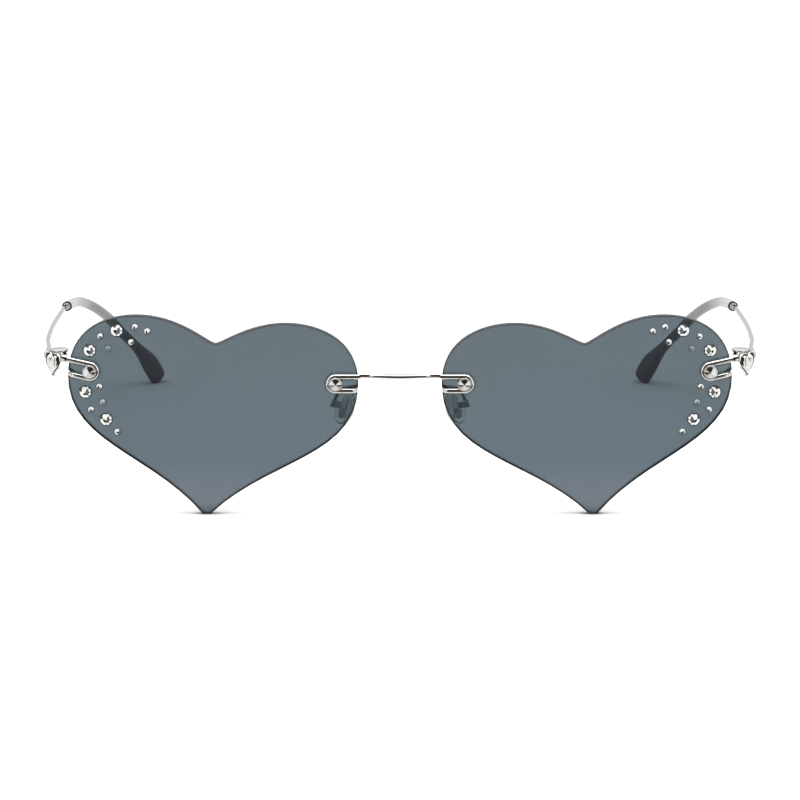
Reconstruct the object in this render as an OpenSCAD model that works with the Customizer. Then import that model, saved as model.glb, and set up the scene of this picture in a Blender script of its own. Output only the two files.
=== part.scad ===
// Rimless sunglasses with heart shaped lenses, standing open.
// X is the width and the mirror plane is x = 0. The lenses face -Y and the temples run to +Y.
// Z is up, and z = 0 is the surface that the two heart tips and the two temple tips stand on.
// Left is the wearer's left, at +X. Each side is modelled at +X and mirrored for the right.

/* [Lenses] */
// Width of one heart before it is canted
lens_w = 61.0; // [54:0.1:66]
// Height of one heart from its tip to its lobes
lens_h = 42.0; // [38:0.1:47]
// Depth of the dip between the two lobes
lens_dip = 5.2; // [3:0.1:8]
// Thickness of the lens plate
lens_t = 2.0; // [1.6:0.1:2.6]
// Gap between the two lenses
lens_gap = 17.5; // [15:0.1:20]
// Turn of each heart in its own plane, outer lobe up, in degrees
lens_cant = 3.3; // [0:0.1:5]
// Width of the blunt tip that the lens stands on
tip_flat = 1.4; // [1:0.1:3]

/* [Stones] */
// Diameter of a large stone
large_stone_d = 2.6; // [2:0.05:3]
// Diameter of a small stone
small_stone_d = 1.35; // [1:0.05:1.7]

/* [Lens screws] */
// Diameter of the screw's shank
screw_d = 1.4; // [1.2:0.05:1.6]
// Diameter of the coned head
head_d = 2.9; // [2.5:0.05:3.2]
// Rise of the coned head
head_rise = 0.85; // [0.6:0.05:1]
// Distance from a lens's inner edge to its inner screw
inner_screw_inset = 4.8; // [4.6:0.1:6.5]
// Height of the inner screws, as a share of the height of the hearts
inner_screw_share = 0.676; // [0.64:0.002:0.7]
// Distance from a lens's outer edge to its outer screw
outer_screw_inset = 4.6; // [4.4:0.1:5.5]
// Height of the outer screws, as a share of the height of the hearts
outer_screw_share = 0.740; // [0.71:0.002:0.75]
// Wall of the bush in the lens hole
bush_wall = 0.3; // [0.2:0.05:0.4]
// Diameter of the washer behind the lens
washer_d = 2.8; // [2.5:0.1:3.2]
// Thickness of the washer
washer_t = 0.3; // [0.2:0.05:0.5]
// Width of the cap nut across its corners
nut_d = 2.6; // [2.4:0.1:3]
// Height of the cap nut
nut_h = 1.2; // [1:0.1:1.4]

/* [Wires] */
// Diameter of the bridge and end piece wire
wire_d = 1.15; // [1:0.05:1.2]
// Radius of the turn round a screw, to the middle of the wire
loop_r = 1.5; // [1.45:0.05:1.6]
// Radius of the bend into a lens notch
bend_r = 0.9; // [0.8:0.05:1]
// Height of the bridge where it is swaged flat
bridge_h = 0.8; // [0.7:0.05:1]
// Depth of the bridge where it is swaged flat
bridge_t = 1.5; // [1.2:0.05:1.6]
// Half the length of the flat stretch
bridge_flat = 5.2; // [4:0.1:6]
// Forward bow of the bridge
bridge_bow = 1.4; // [0:0.1:2.5]
// Rise of the end pieces towards the hinges, in degrees
endpiece_tilt = 13; // [8:0.5:16]

/* [Nose pads] */
// Length of a pad
pad_l = 7.8; // [7.5:0.1:9]
// Width of a pad
pad_w = 5.2; // [5:0.1:6.5]
// Thickness of a pad
pad_t = 2.2; // [2:0.1:2.6]
// Distance from the mirror plane to the middle of a pad
pad_x = 11.5; // [10.5:0.1:12.4]
// Distance from the lens fronts to the middle of a pad
pad_y = 8.0; // [7.5:0.1:9]
// Height of the middle of a pad
pad_z = 21.6; // [20:0.1:22]
// Angle of the pads seen from above, in degrees
pad_splay = 42; // [36:1:50]
// Angle of the pads seen from the front, in degrees
pad_flare = 20; // [8:1:24]
// Diameter of the pad arm
arm_d = 0.9; // [0.8:0.05:1]
// Diameter of the pad screw
pad_screw_d = 0.8; // [0.7:0.05:0.9]

/* [Hinges] */
// Distance from a lens's outer edge to the hinge axis
hinge_out = 1.85; // [1.8:0.05:2.3]
// Distance from the lens fronts to the hinge axis
hinge_y = 2.3; // [2.2:0.05:2.8]
// Diameter of the hinge eye and of the fork
knuckle_d = 3.4; // [3:0.05:3.5]
// Thickness of the eye on the end piece
eye_t = 0.8; // [0.6:0.05:1]
// Thickness of each arm of the fork on the temple
fork_t = 0.55; // [0.45:0.05:0.8]
// Diameter of the hinge screw
hinge_screw_d = 1.2; // [1:0.05:1.4]
// Diameter of the hinge screw's flat round head
hinge_head_d = 4.0; // [3.6:0.05:4.4]
// Thickness of that head at its rim
hinge_head_t = 0.3; // [0.2:0.05:0.5]
// Width of the heart on the hinge
heart_w = 4.8; // [4:0.1:5.2]
// Height of the heart on the hinge
heart_h = 5.0; // [4.2:0.1:5.6]
// Thickness of the heart on the hinge
heart_t = 1.1; // [0.8:0.05:1.4]
// Turn of that heart from the front towards the side, in degrees
heart_turn = 48; // [44:1:54]

/* [Temples] */
// Diameter of the temple wire
temple_d = 1.1; // [1:0.05:1.2]
// Distance from the hinge axis out to the temple wire
temple_out = 2.72; // [2.7:0.02:2.9]
// Length of the temple from front to back
temple_l = 125.6; // [110:0.5:140]
// Outward bow of the temple
temple_bow = 2.9; // [1:0.1:4]
// Inward tuck of the temple tip
temple_tuck = 19.0; // [12:0.2:22]
// Diameter of the sleeve at its open front end
sleeve_d = 2.3; // [2:0.05:2.6]
// Width of the paddle at the end of the sleeve
paddle_w = 5.6; // [4.5:0.1:6.5]
// Thickness of that paddle
paddle_t = 2.6; // [2.2:0.1:3]

/* [Hidden] */
$fn = 48;

// Overrun of every cut past the face that it opens
overrun = 1;
// Gap between pieces that are seated on each other
seat = 0.03;
// Radial gap of a pivot, and gap between hinge faces
play = 0.04;
// Gap between soft or moving pieces and what they pass
clear = 0.15;

// Control points of half a heart, as shares of its half width and of its height
flank_shares = [[0.409, 0.304], [1, 0.334], [1, 0.693]];
shoulder_shares = [[1, 0.920], [0.744, 1], [0.511, 1]];
dip_shares = [[0.243, 1], [0.048, 1]];
// How far down the dip its last control point lies, as a share of the dip
dip_depth_share = 0.976;
// Dip and blunt tip of the heart on a hinge, as shares of its height
hinge_dip_share = 0.2;
hinge_flat_share = 0.083;
widest_share = flank_shares[2][1];

// Places of the stones on a lens, as shares of its half width and of its height
large_stone_shares = [[0.678, 0.920], [0.857, 0.810], [0.874, 0.597], [0.723, 0.462]];
small_stone_shares = [
    [0.554, 0.942], [0.468, 0.924], [0.786, 0.885], [0.731, 0.824], [0.573, 0.865],
    [0.780, 0.627], [0.750, 0.549], [0.829, 0.508], [0.640, 0.402]];
// Crown, pavilion and table of a stone, as shares of its diameter
crown_share = 0.17;
pavilion_share = 0.34;
table_share = 0.58;
// Floor of a stone's seat, as a share of the stone's diameter
seat_floor_share = 0.25;

// Route of the temple: shares of its length, its bow, its tuck and its drop
temple_shares = [
    [0.020, 0.00, 0.000, 0.000], [0.085, 0.12, 0.000, 0.016], [0.190, 0.55, 0.000, 0.054],
    [0.350, 0.86, 0.000, 0.112], [0.512, 1.02, 0.000, 0.176], [0.670, 1.13, 0.010, 0.238],
    [0.727, 1.16, 0.030, 0.258], [0.788, 1.10, 0.140, 0.274], [0.833, 1.04, 0.295, 0.350],
    [0.882, 1.00, 0.455, 0.475], [0.921, 1.00, 0.600, 0.610], [0.954, 1.00, 0.765, 0.745],
    [0.983, 1.00, 0.900, 0.880], [1.000, 1.00, 1.000, 1.000]];
// Where the sleeve starts on that route and where the wire inside it ends, as rows of the route
sleeve_row = 6;
core_row = 10;
// Width and thickness of the sleeve along its length, as shares between its front and its paddle
sleeve_shares = [
    [0.00, 0.00], [0.01, 0.04], [0.02, 0.10], [0.04, 0.20],
    [0.09, 0.38], [0.30, 0.66], [0.86, 1.00], [0.76, 0.80]];
// Rounding of the paddle's end: how far out, as a share of its thickness, and what is left of its size
end_shares = [[0.14, 0.90], [0.26, 0.70], [0.33, 0.42]];
// Steps of the route between two rows
route_steps = 4;
// Sides of a drawn wire and of a sleeve
wire_sides = 10;
sleeve_sides = 14;

half_w = lens_w / 2;
tip_sink = tip_flat / 2 * sin(lens_cant);
tip_x = lens_gap / 2 + half_w * cos(lens_cant) + widest_share * lens_h * sin(lens_cant);
outer_x = tip_x + half_w * cos(lens_cant) - widest_share * lens_h * sin(lens_cant);
inner_screw_z = inner_screw_share * lens_h;
outer_screw_z = outer_screw_share * lens_h;
leg_y = -(seat + wire_d / 2);
head_y = -(seat + wire_d + seat);
inner_screw_x = lens_gap / 2 + inner_screw_inset;
outer_screw_x = outer_x - outer_screw_inset;
notch_in = wire_d / 2 + seat;
inner_notch_x = lens_gap / 2 + notch_in;
outer_notch_l = (outer_screw_inset - notch_in - loop_r * sin(endpiece_tilt)) / cos(endpiece_tilt);
notch_w = wire_d + 2 * seat;
// How far an end piece's wire stands out behind its notch
hook_out = 0.6;
// Rounding of a screw head's rim
head_rim = 0.15;
// Length over which the bridge changes from round to flat
swage_l = 1.4;
// Width of a cap nut's dome, as a share of its hexagon
dome_share = 0.84;

// The boss on the hinge eye that the end piece wire is soldered in
solder_wall = 0.25;
boss_d = wire_d + 2 * solder_wall;
boss_l = 1.1;
boss_back = 0.7;
boss_wall = 0.3;
hinge_x = outer_x + hinge_out;
boss_end = (hinge_x - boss_back - outer_screw_x + loop_r * sin(endpiece_tilt)) / cos(endpiece_tilt);
hinge_z = outer_screw_z + boss_end * sin(endpiece_tilt) + loop_r * cos(endpiece_tilt);
fork_top = hinge_z + eye_t / 2 + play + fork_t;
fork_bottom = hinge_z - eye_t / 2 - play - fork_t;
slot_r = knuckle_d / 2 + clear;
// The web that joins the fork's arms and carries the heart, to both sides of the hinge axis
web_wall = 0.4;
face_d = slot_r + web_wall;
web_in = 1.2;
web_out = 1.9;
// How far the heart sits to the inner side, and above the fork
heart_shift = 1.05;
heart_top_rise = 0.1;
// Crown of the hinge screw's head
hinge_head_rise = 0.2;

// The boss on the fork that the temple wire is soldered in
temple_wall = 0.225;
temple_boss_d = temple_d + 2 * temple_wall;
temple_boss_l = 2.2;
temple_boss_front = 1.0;
temple_boss_floor = 0.5;
temple_x = hinge_x + temple_out;
temple_boss_y = hinge_y - temple_boss_front;
temple_y = temple_boss_y + temple_boss_floor;
// Height of the middle of the paddle's end above the table
tip_rest = 1.25;
temple_drop = hinge_z - tip_rest;
sleeve_bore = temple_d + 2 * seat;
bow_y = leg_y - bridge_bow - bridge_t / 2;
heart_y = hinge_y - (face_d + heart_t / 2) * cos(heart_turn) - (heart_shift + heart_w / 2) * sin(heart_turn);
paddle_reach_share = 0.3;
mid_y = (min(bow_y, heart_y) + temple_y + temple_l + paddle_reach_share * paddle_w) / 2;

// The pad's own pieces, measured outwards from the middle of the pad
pad_c = [pad_x, pad_y, pad_z];
pad_taper_share = 0.2;
// From the pad's outer face to its pivot
pad_stand = 0.92;
lug_w = 0.9;
lug_d = 1.1;
pivot_out = pad_t / 2 + pad_stand;
box_wall = 0.35;
box_lip = 0.62;
box_room = 0.1;
box_mouth = pivot_out - box_lip;
box_floor = pivot_out + lug_d / 2 + box_room;
box_back = box_floor + box_wall;
box_h = 1.4;
box_w = lug_w + 2 * play + 2 * box_wall;
socket_wall = 0.27;
socket_sink = 0.02;
socket_out = box_back + arm_d / 2 - socket_sink;
socket_h = 1.5;
socket_floor = 0.3;
core_l = 5.2;
core_w = 2.2;
core_t = 0.7;
pad_head_d = 1.4;
pad_head_t = 0.35;
arm_lead = 2.4;
arm_fall = 3.2;

silver = [0.83, 0.83, 0.85];
smoke = [0.30, 0.35, 0.39, 0.6];
clear_stone = [0.93, 0.95, 0.97];
silicone = [0.75, 0.78, 0.80, 0.7];
dark_plastic = [0.16, 0.16, 0.18];
pale_plastic = [0.85, 0.86, 0.88];

function unit(v) = v / norm(v);
function bezier(p, t) =
    let (u = 1 - t) u * u * u * p[0] + 3 * u * u * t * p[1] + 3 * u * t * t * p[2] + t * t * t * p[3];
function bezier_run(p, n) = [for (i = [0:n - 1]) bezier(p, i / n)];
function spline(a, b, c, d, t) =
    (2 * b + (c - a) * t + (2 * a - 5 * b + 4 * c - d) * t * t + (3 * b - 3 * c + d - a) * t * t * t) / 2;
function smooth(t) = let (u = min(max(t, 0), 1)) u * u * (3 - 2 * u);
function mix(a, b, t) = a + (b - a) * t;

// Half a heart, from its blunt tip round its lobe to just before the dip, counter-clockwise
function half_heart(w, h, dip, flat, n) =
    let (a = w / 2,
         at = function (s) [s[0] * a, s[1] * h],
         start = [flat / 2, 0],
         low = [dip_shares[1][0] * a, h - dip_depth_share * dip])
    concat(
        bezier_run([start, at(flank_shares[0]), at(flank_shares[1]), at(flank_shares[2])], n),
        bezier_run([at(flank_shares[2]), at(shoulder_shares[0]), at(shoulder_shares[1]),
            at(shoulder_shares[2])], n),
        bezier_run([at(shoulder_shares[2]), at(dip_shares[0]), low, [0, h - dip]], n));
function heart(w, h, dip, flat, n) =
    let (half = half_heart(w, h, dip, flat, n), last = len(half) - 1)
    concat(half, [[0, h - dip]], [for (i = [last:-1:0]) [-half[i][0], half[i][1]]]);

// Directions along a route, and across it: carried along without twist, or kept upright
function directions(p, first) =
    [for (i = [0:len(p) - 1])
        i == 0 ? first : unit(p[min(i + 1, len(p) - 1)] - p[i - 1])];
function across(n, t) = unit(n - (n * t) * t);
function carried(t, n, i = 0) =
    i == len(t) ? [] : let (m = across(n, t[i])) concat([m], carried(t, m, i + 1));
function upright(t) = [for (d = t) across([0, 0, 1], d)];
// Rings of k points round a route, sizes giving the half width along n and across it
function rings(p, t, n, sizes, k) =
    [for (i = [0:len(p) - 1])
        [for (j = [0:k - 1])
            p[i] + sizes[i][0] * cos(360 * j / k) * n[i]
                 + sizes[i][1] * sin(360 * j / k) * cross(t[i], n[i])]];
module skin(r) {
    k = len(r[0]);
    last = len(r) - 1;
    polyhedron(
        points = [for (ring = r) for (p = ring) p],
        faces = concat(
            [[for (j = [0:k - 1]) j]],
            [for (i = [0:last - 1]) for (j = [0:k - 1])
                [i * k + j, (i + 1) * k + j, (i + 1) * k + (j + 1) % k]],
            [for (i = [0:last - 1]) for (j = [0:k - 1])
                [i * k + j, (i + 1) * k + (j + 1) % k, i * k + (j + 1) % k]],
            [[for (j = [k - 1:-1:0]) last * k + j]]));
}

// The part's own frame: the middle of the whole depth is at y = 0
module placed() translate([0, -mid_y, 0]) children();
module placed_right() placed() mirror([1, 0, 0]) children();
module at_screws() {
    for (side = [0, 1]) mirror([side, 0, 0]) {
        translate([inner_screw_x, 0, inner_screw_z]) children();
        translate([outer_screw_x, 0, outer_screw_z]) children();
    }
}
module on_lens() translate([tip_x, 0, -tip_sink]) rotate([0, -lens_cant, 0]) children();
module at_stones(shares) for (s = shares) translate([s[0] * half_w, 0, s[1] * lens_h]) children();
module rod_y(d, y1, y2) translate([0, y1, 0]) rotate([-90, 0, 0]) cylinder(d = d, h = y2 - y1);

// A lens: a canted heart plate with its holes, its notches and a seat for each stone
module stone_seats(shares, d)
    at_stones(shares) translate([0, -seat, 0]) rotate([-90, 0, 0])
        cylinder(d1 = d + 2 * seat, d2 = seat_floor_share * d, h = d * pavilion_share + 2 * seat);
module lens() color(smoke) difference() {
    on_lens() difference() {
        translate([0, lens_t, 0]) rotate([90, 0, 0]) linear_extrude(lens_t)
            polygon(heart(lens_w, lens_h, lens_dip, tip_flat, 14));
        stone_seats(large_stone_shares, large_stone_d);
        stone_seats(small_stone_shares, small_stone_d);
    }
    translate([tip_x - lens_w / 2, -overrun, -2 * overrun]) cube([lens_w, lens_t + 2 * overrun, 2 * overrun]);
    for (at = [[inner_screw_x, inner_screw_z], [outer_screw_x, outer_screw_z]])
        translate([at[0], 0, at[1]])
            rod_y(screw_d + 2 * (seat + bush_wall + seat), -overrun, lens_t + overrun);
    translate([inner_notch_x - notch_in - overrun, -overrun, inner_screw_z - loop_r - notch_w / 2])
        cube([notch_in + overrun, lens_t + 2 * overrun, notch_w]);
    translate([inner_notch_x, 0, inner_screw_z - loop_r]) rod_y(notch_w, -overrun, lens_t + overrun);
    translate([outer_screw_x, 0, outer_screw_z]) rotate([0, -endpiece_tilt, 0]) {
        translate([outer_notch_l, 0, -loop_r]) rod_y(notch_w, -overrun, lens_t + overrun);
        translate([outer_notch_l, -overrun, -loop_r - notch_w / 2])
            cube([notch_in + overrun, lens_t + 2 * overrun, notch_w]);
    }
}

// A round stone: a table, a crown of triangles and a pointed back
module stone(d, k) {
    table = [for (j = [0:k - 1]) let (a = 360 * (j + 0.5) / k)
        [table_share * d / 2 * cos(a), -crown_share * d, table_share * d / 2 * sin(a)]];
    girdle = [for (j = [0:k - 1]) let (a = 360 * j / k) [d / 2 * cos(a), 0, d / 2 * sin(a)]];
    polyhedron(
        points = concat(table, girdle, [[0, pavilion_share * d, 0]]),
        faces = concat(
            [[for (j = [k - 1:-1:0]) j]],
            [for (j = [0:k - 1]) [j, (j + 1) % k, k + (j + 1) % k]],
            [for (j = [0:k - 1]) [j, k + (j + 1) % k, k + j]],
            [for (j = [0:k - 1]) [k + j, k + (j + 1) % k, 2 * k]]));
}
module large_stones() color(clear_stone) on_lens() at_stones(large_stone_shares) stone(large_stone_d, 12);
module small_stones() color(clear_stone) on_lens() at_stones(small_stone_shares) stone(small_stone_d, 8);

// Half the bridge wire: the bowed middle, the hairpin, the bend into the notch and the pad arm
function turn_y(p, a) = [p[0] * cos(a) + p[2] * sin(a), p[1], p[2] * cos(a) - p[0] * sin(a)];
function turn_z(p, a) = [p[0] * cos(a) - p[1] * sin(a), p[0] * sin(a) + p[1] * cos(a), p[2]];
function pad_point(p) = pad_c + turn_z(turn_y(p, -pad_flare), -pad_splay);
socket_top = pad_point([socket_out, 0, socket_h / 2]);
socket_end = pad_point([socket_out, 0, socket_floor - socket_h / 2]);
socket_lead = pad_point([socket_out, 0, socket_h / 2 + arm_fall]);
arm_start = [inner_notch_x, lens_t, inner_screw_z - loop_r];
bow_steps = 12;
arm_steps = 10;
bow_run = [for (i = [0:bow_steps]) let (s = i / bow_steps)
    [s * lens_gap / 2, leg_y - bridge_bow * (1 + cos(180 * s)) / 2, inner_screw_z + loop_r]];
inner_loop = [for (a = [90:-15:-90])
    [inner_screw_x + loop_r * cos(a), leg_y, inner_screw_z + loop_r * sin(a)]];
inner_bend = [for (a = [0:18:90])
    [inner_notch_x + bend_r * (1 - sin(a)), leg_y + bend_r * (1 - cos(a)), inner_screw_z - loop_r]];
arm_run = concat(
    bezier_run([arm_start, arm_start + [0, arm_lead, 0], socket_lead, socket_top], arm_steps),
    [socket_top, socket_end]);
bridge_route = concat(bow_run, inner_loop, inner_bend, arm_run);
round_sizes = [for (i = [1:len(inner_loop) + len(inner_bend)]) [wire_d / 2, wire_d / 2]];
bow_sizes = [for (p = bow_run) let (s = smooth((p[0] - bridge_flat) / swage_l))
    [mix(bridge_t, wire_d, s) / 2, mix(bridge_h, wire_d, s) / 2]];
arm_sizes = [for (i = [0:arm_steps + 1]) let (r = mix(wire_d, arm_d, smooth(2 * i / arm_steps)) / 2) [r, r]];
module bridge() color(silver) {
    t = directions(bridge_route, [1, 0, 0]);
    half = rings(bridge_route, t, carried(t, [0, 1, 0]), concat(bow_sizes, round_sizes, arm_sizes), wire_sides);
    skin(concat(
        [for (i = [len(half) - 1:-1:1]) [for (p = half[i]) [-p[0], p[1], p[2]]]],
        half));
}

// An end piece wire, drawn with its screw at the origin and its run to the hinge along +X
endpiece_route = concat(
    [[boss_end - boss_wall, leg_y, loop_r]],
    [for (a = [90:15:270]) [loop_r * cos(a), leg_y, loop_r * sin(a)]],
    [for (a = [0:18:90]) [outer_notch_l - bend_r * (1 - sin(a)), leg_y + bend_r * (1 - cos(a)), -loop_r]],
    [[outer_notch_l, lens_t + hook_out, -loop_r]]);
module on_outer_screw() translate([outer_screw_x, 0, outer_screw_z]) rotate([0, -endpiece_tilt, 0]) children();
module endpiece() color(silver) on_outer_screw() {
    t = directions(endpiece_route, [-1, 0, 0]);
    skin(rings(endpiece_route, t, carried(t, [0, 1, 0]),
        [for (p = endpiece_route) [wire_d / 2, wire_d / 2]], wire_sides));
}

// Lens screws and what they hold together
screw_end = lens_t + seat + washer_t + seat + nut_h - boss_wall - seat;
module lens_screw() color(silver) rotate([90, 0, 0]) rotate_extrude() polygon([
    [0, -screw_end], [screw_d / 2, -screw_end], [screw_d / 2, -head_y], [head_d / 2, -head_y],
    for (a = [0:20:80]) [head_d / 2 - head_rim * (1 - cos(a)), -head_y + head_rim * (1 + sin(a))],
    [0, -head_y + head_rise]]);
module lens_bush() color(pale_plastic) difference() {
    rod_y(screw_d + 2 * (seat + bush_wall), 0, lens_t);
    rod_y(screw_d + 2 * seat, -overrun, lens_t + overrun);
}
module lens_washer() color(pale_plastic) difference() {
    rod_y(washer_d, lens_t + seat, lens_t + seat + washer_t);
    rod_y(screw_d + 2 * seat, lens_t - overrun, lens_t + washer_t + overrun);
}
module lens_nut() color(silver) difference() {
    union() {
        translate([0, lens_t + washer_t + 2 * seat, 0]) rotate([-90, 0, 0])
            cylinder(d = nut_d, h = nut_h - boss_wall, $fn = 6);
        rod_y(dome_share * nut_d, lens_t + washer_t + 2 * seat, lens_t + washer_t + 2 * seat + nut_h);
    }
    rod_y(screw_d + 2 * seat, lens_t, screw_end + seat);
}

// Nose pads, drawn with x outwards through the pad, y across it and z along it
module on_pad() translate(pad_c) rotate([0, 0, -pad_splay]) rotate([0, -pad_flare, 0]) children();
module pad_core() color(silver) on_pad() difference() {
    union() {
        rotate([0, 90, 0]) translate([0, 0, -core_t / 2]) linear_extrude(core_t) {
            square([core_l - core_w, core_w], center = true);
            for (s = [-1, 1]) translate([s * (core_l - core_w) / 2, 0]) circle(d = core_w);
        }
        translate([0, -lug_w / 2, -lug_d / 2]) cube([pivot_out, lug_w, lug_d]);
        translate([pivot_out, 0, 0]) rod_y(lug_d, -lug_w / 2, lug_w / 2);
    }
    translate([pivot_out, 0, 0]) rod_y(pad_screw_d + 2 * play, -overrun, overrun);
}
pad_steps = [[0.30, -0.5], [0.66, -0.44], [0.90, -0.24], [1, 0.06], [0.96, 0.30], [0.80, 0.46], [0.50, 0.5]];
module nose_pad() color(silicone) difference() {
    on_pad() skin([for (s = pad_steps) [for (a = [0:18:342])
        [s[1] * pad_t,
         -s[0] * pad_w / 2 * sin(a) * (1 - pad_taper_share * cos(a)),
         s[0] * pad_l / 2 * cos(a)]]]);
    pad_core();
}
module pad_box() color(silver) on_pad() difference() {
    union() {
        translate([box_mouth, -box_w / 2, -box_h / 2]) cube([box_back - box_mouth, box_w, box_h]);
        translate([socket_out, 0, -socket_h / 2]) cylinder(d = arm_d + 2 * socket_wall, h = socket_h);
    }
    translate([box_mouth - overrun, -lug_w / 2 - play, -box_h / 2 - overrun])
        cube([box_floor - box_mouth + overrun, lug_w + 2 * play, box_h + 2 * overrun]);
    translate([pivot_out, 0, 0]) rod_y(pad_screw_d + 2 * seat, -box_w / 2 - overrun, box_w / 2 + overrun);
    translate([socket_out, 0, socket_floor - socket_h / 2 - seat])
        cylinder(d = arm_d + 2 * seat, h = socket_h + overrun);
}
module pad_screw() color(silver) on_pad() translate([pivot_out, 0, 0]) {
    rod_y(pad_screw_d, -box_w / 2 - seat - pad_head_t / 2, box_w / 2);
    rod_y(pad_head_d, -box_w / 2 - seat - pad_head_t, -box_w / 2 - seat);
}

// The hinge: an eye on the end piece between the two arms of a fork on the temple
module on_hinge() translate([hinge_x, hinge_y, 0]) children();
module hinge_eye() color(silver) difference() {
    union() {
        translate([0, 0, hinge_z - eye_t / 2]) {
            on_hinge() cylinder(d = knuckle_d, h = eye_t);
            translate([hinge_x - knuckle_d / 2, leg_y, 0])
                cube([knuckle_d / 2 - boss_back, hinge_y - leg_y, eye_t]);
        }
        on_outer_screw() translate([boss_end - boss_l, leg_y, loop_r]) rotate([0, 90, 0])
            cylinder(d = boss_d, h = boss_l);
    }
    on_hinge() translate([0, 0, fork_bottom])
        cylinder(d = hinge_screw_d + 2 * play, h = fork_top - fork_bottom);
    on_outer_screw() translate([boss_end - boss_wall + seat, leg_y, loop_r]) rotate([0, -90, 0])
        cylinder(d = wire_d + 2 * seat, h = boss_l);
}
module hinge_fork() color(silver) difference() {
    union() {
        on_hinge() {
            translate([0, 0, fork_bottom]) cylinder(d = knuckle_d, h = fork_top - fork_bottom);
            rotate([0, 0, heart_turn]) translate([-web_in, -face_d, fork_bottom])
                cube([web_in + web_out, face_d, fork_top - fork_bottom]);
        }
        translate([temple_x, temple_boss_y, hinge_z]) rod_y(temple_boss_d, 0, temple_boss_l);
    }
    on_hinge() {
        translate([0, 0, hinge_z - eye_t / 2 - play]) cylinder(r = slot_r, h = eye_t + 2 * play);
        translate([0, 0, fork_bottom - overrun])
            cylinder(d = hinge_screw_d + 2 * seat, h = fork_top - fork_bottom + 2 * overrun);
        // The boss is cut flush with the web, behind the heart
        rotate([0, 0, heart_turn]) translate([0, -face_d - heart_t, fork_bottom - overrun])
            cube([heart_w, heart_t, fork_top - fork_bottom + 2 * overrun]);
    }
    translate([temple_x, temple_y - seat, hinge_z]) rod_y(temple_d + 2 * seat, 0, temple_boss_l + overrun);
}
module hinge_screw() color(silver) on_hinge() rotate_extrude() polygon([
    [0, fork_bottom], [hinge_screw_d / 2, fork_bottom], [hinge_screw_d / 2, fork_top + seat],
    [hinge_head_d / 2, fork_top + seat], [hinge_head_d / 2, fork_top + seat + hinge_head_t],
    for (a = [0:15:90])
        [(hinge_head_d / 2 - hinge_head_t) * cos(a), fork_top + seat + hinge_head_t + hinge_head_rise * sin(a)]]);
heart_steps = [[0.94, 0], [1, 0.12], [1, 0.42], [0.90, 0.68], [0.66, 0.90], [0.34, 1]];
module hinge_heart() color(silver) on_hinge() rotate([0, 0, heart_turn])
    translate([-heart_shift, -face_d - seat, fork_top + heart_top_rise - heart_h]) {
        outline = heart(heart_w, heart_h, hinge_dip_share * heart_h, hinge_flat_share * heart_h, 7);
        skin([for (s = heart_steps) [for (p = outline)
            [s[0] * p[0], -s[1] * heart_t, heart_h / 2 + s[0] * (p[1] - heart_h / 2)]]]);
    }

// The temple wire and the sleeve on its end follow one route
function route_point(s) =
    [temple_x + s[1] * temple_bow - s[2] * temple_tuck, temple_y + s[0] * temple_l, hinge_z - s[3] * temple_drop];
function route(from, to) =
    let (p = [for (s = temple_shares) route_point(s)], last = len(p) - 1)
    concat(
        [for (i = [from:to - 1]) for (j = [0:route_steps - 1])
            spline(p[max(i - 1, 0)], p[i], p[i + 1], p[min(i + 2, last)], j / route_steps)],
        [p[to]]);
module temple_tube(p, first, sizes, k) {
    t = directions(p, first);
    skin(rings(p, t, upright(t), sizes, k));
}
function heading(row) = unit(route(row, row + 1)[1] - route_point(temple_shares[row]));
module temple_wire() color(silver) {
    p = concat([[temple_x, temple_y, hinge_z]], route(0, core_row));
    temple_tube(p, [0, 1, 0], [for (q = p) [temple_d / 2, temple_d / 2]], wire_sides);
}
module temple_sleeve() color(dark_plastic) {
    last = len(temple_shares) - 1;
    p = route(sleeve_row, last);
    sizes = [for (i = [0:len(p) - 1])
        let (row = floor(i / route_steps),
             a = sleeve_shares[row],
             b = sleeve_shares[min(row + 1, len(sleeve_shares) - 1)],
             s = mix(a, b, i / route_steps - row))
        [mix(sleeve_d, paddle_w, s[0]) / 2, mix(sleeve_d, paddle_t, s[1]) / 2]];
    end_t = unit(p[len(p) - 1] - p[len(p) - 2]);
    bore = route(sleeve_row, core_row);
    intersection() {
        difference() {
            temple_tube(concat(p, [for (s = end_shares) p[len(p) - 1] + s[0] * paddle_t * end_t]),
                heading(sleeve_row),
                concat(sizes, [for (s = end_shares) s[1] * sizes[len(p) - 1]]), sleeve_sides);
            temple_tube(concat([bore[0] - overrun * heading(sleeve_row)], bore, [bore[len(bore) - 1]
                + seat * heading(core_row)]), heading(sleeve_row),
                [for (i = [0:len(bore) + 1]) [sleeve_bore / 2, sleeve_bore / 2]], wire_sides);
        }
        cube([2 * temple_x, 2 * temple_l, 2 * hinge_z]);
    }
}

placed() lens();  // lens_left
placed_right() lens();  // lens_right
placed() large_stones();  // large_stones_left
placed_right() large_stones();  // large_stones_right
placed() small_stones();  // small_stones_left
placed_right() small_stones();  // small_stones_right
placed() bridge();
placed() endpiece();  // endpiece_left
placed_right() endpiece();  // endpiece_right
placed() at_screws() lens_screw();  // lens_screws
placed() at_screws() lens_bush();  // lens_bushes
placed() at_screws() lens_washer();  // lens_washers
placed() at_screws() lens_nut();  // lens_nuts
placed() pad_box();  // pad_box_left
placed_right() pad_box();  // pad_box_right
placed() pad_screw();  // pad_screw_left
placed_right() pad_screw();  // pad_screw_right
placed() pad_core();  // pad_core_left
placed_right() pad_core();  // pad_core_right
placed() nose_pad();  // nose_pad_left
placed_right() nose_pad();  // nose_pad_right
placed() hinge_eye();  // hinge_eye_left
placed_right() hinge_eye();  // hinge_eye_right
placed() hinge_fork();  // hinge_fork_left
placed_right() hinge_fork();  // hinge_fork_right
placed() hinge_screw();  // hinge_screw_left
placed_right() hinge_screw();  // hinge_screw_right
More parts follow.
